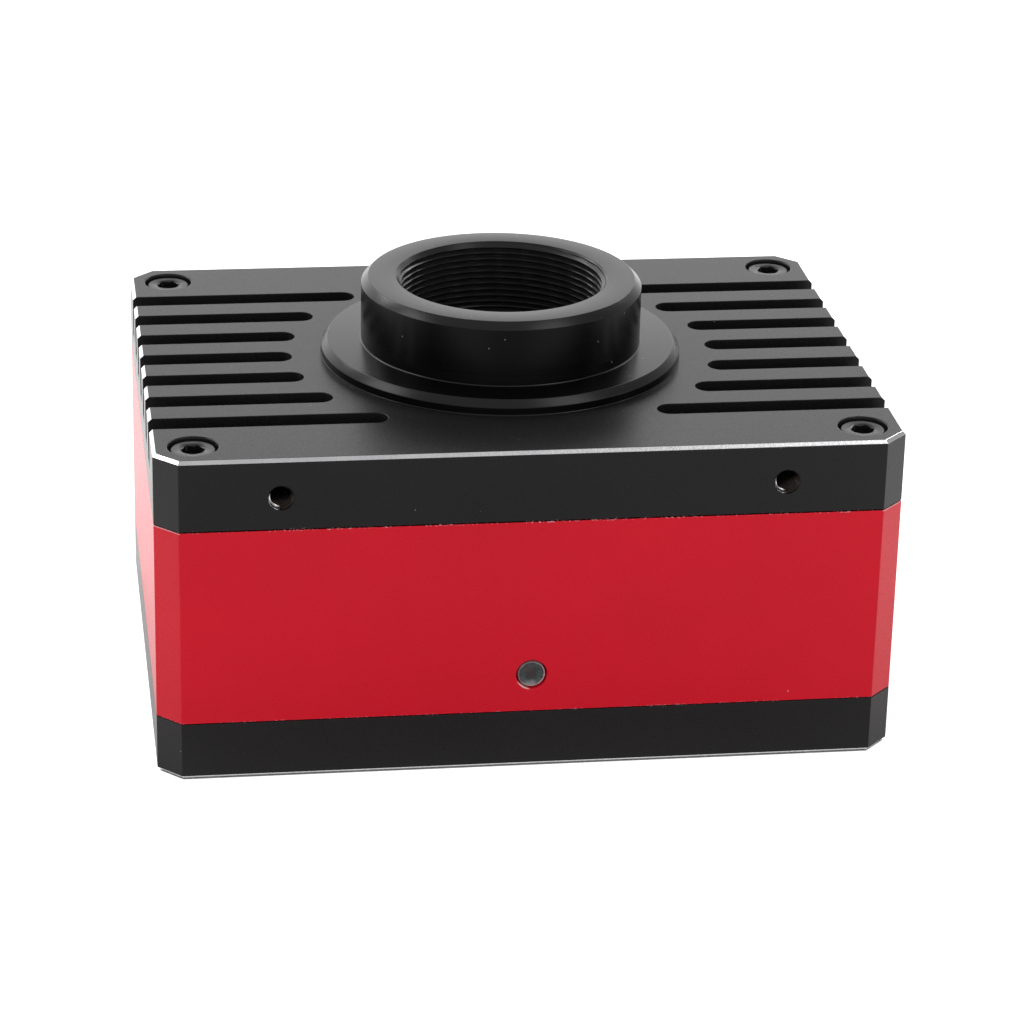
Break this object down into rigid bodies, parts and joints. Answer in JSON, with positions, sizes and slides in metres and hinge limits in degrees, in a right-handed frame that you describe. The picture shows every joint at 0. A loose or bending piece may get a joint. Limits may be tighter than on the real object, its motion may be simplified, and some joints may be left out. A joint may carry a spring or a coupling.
{
  "type": "cooled astronomy camera",
  "caption": "Box-shaped cooled camera with a threaded nose on top, slotted black cover, red body shell, rear fan and ports in the back wall.",
  "frame": {"origin": "centre of the rear cover's outer face, at the middle of the object's base", "axes": "+Z along the optical axis out of the nose, +X along the long side, -Y out of the front with the status light"},
  "size_m": [0.088, 0.066, 0.0501],
  "materials": {
    "black_anodised": "fine bead-blasted satin black anodise with bright machined rims",
    "red_anodised": "satin red anodise over fine-blasted aluminium",
    "black_turned": "turned and black anodised, faint lathe lines",
    "black_screw": "black oxide, slightly glossy",
    "seal_rubber": "matte black rubber",
    "light_window": "clear smoked plastic light guide",
    "ceramic_white": "matte alumina",
    "optical_glass": "polished and coated",
    "sensor_ceramic": "matte package ceramic",
    "sensor_silicon": "mirror-like silicon with a colour sheen",
    "circuit_board": "solder mask",
    "steel": "plain bright steel",
    "thermal_pad": "soft grey pad",
    "bare_aluminium": "machined",
    "chip_plastic": "moulded package",
    "cooler_pellet": "matte grey semiconductor",
    "foam": "closed-cell foam",
    "desiccant": "pressed tablet",
    "fan_plastic": "moulded black plastic",
    "copper_winding": "lacquered copper wire",
    "magnet": "sintered ferrite",
    "socket_blue": "moulded plastic",
    "connector_plastic": "natural nylon",
    "flex_polyimide": "amber polyimide film",
    "lead_insulation": "soft wire insulation"
  },
  "bodies": {
    "root": {"top_cover": "black_anodised", "rear_cover": "black_anodised", "body_shell": "red_anodised", "top_cover_screws": "black_screw", "rear_cover_screws": "black_screw", "top_gasket": "seal_rubber", "rear_gasket": "seal_rubber", "status_light_pipe": "light_window", "status_led": "ceramic_white", "window_glass": "optical_glass", "window_o_ring": "seal_rubber", "window_retaining_ring": "black_turned", "image_sensor": "sensor_ceramic", "sensor_die": "sensor_silicon", "sensor_cover_glass": "optical_glass", "sensor_board": "circuit_board", "sensor_board_screws": "steel", "thermal_pad": "thermal_pad", "cold_finger": "bare_aluminium", "temperature_probe": "chip_plastic", "tec_cold_plate": "ceramic_white", "tec_pellets": "cooler_pellet", "tec_hot_plate": "ceramic_white", "chamber_insulation": "foam", "desiccant_tablets": "desiccant", "chamber_housing": "black_turned", "chamber_gaskets": "seal_rubber", "chamber_screws": "black_screw", "heat_sink": "bare_aluminium", "fan_frame": "fan_plastic", "fan_stator": "copper_winding", "fan_bearings": "steel", "fan_screws": "black_screw", "main_board": "circuit_board", "board_screws": "steel", "processor": "chip_plastic", "memory_chips": "chip_plastic", "inductors": "chip_plastic", "capacitors": "steel", "usb_socket": "steel", "usb_insert": "socket_blue", "power_jack": "fan_plastic", "power_jack_pin": "steel", "flex_connectors": "connector_plastic", "sensor_flex": "flex_polyimide", "tec_leads": "lead_insulation", "fan_lead": "lead_insulation", "fan_connector": "connector_plastic"},
    "nose_seal": {"nose_o_ring": "seal_rubber"},
    "nose": {"c_mount_nose": "black_turned"},
    "fan_rotor": {"fan_rotor": "fan_plastic", "fan_magnet": "magnet", "fan_shaft": "steel"}
  },
  "joints": [
    {"name": "nose_lift", "type": "slide", "parent": "root", "child": "nose_seal", "axis": [0, 0, 1], "range_m": [0, 0.0031]},
    {"name": "nose_turn", "type": "hinge", "parent": "nose_seal", "child": "nose", "pos_m": [0, 0, 0.0402], "axis": [0, 0, 1], "range_deg": [0, 1440]},
    {"name": "fan_spin", "type": "hinge", "parent": "root", "child": "fan_rotor", "pos_m": [0, 0, 0.005], "axis": [0, 0, 1], "continuous": true}
  ],
  "couplings": [
    {"joint": "nose_lift", "follows": "nose_turn", "m_per_rad": 0.00011937}
  ]
}
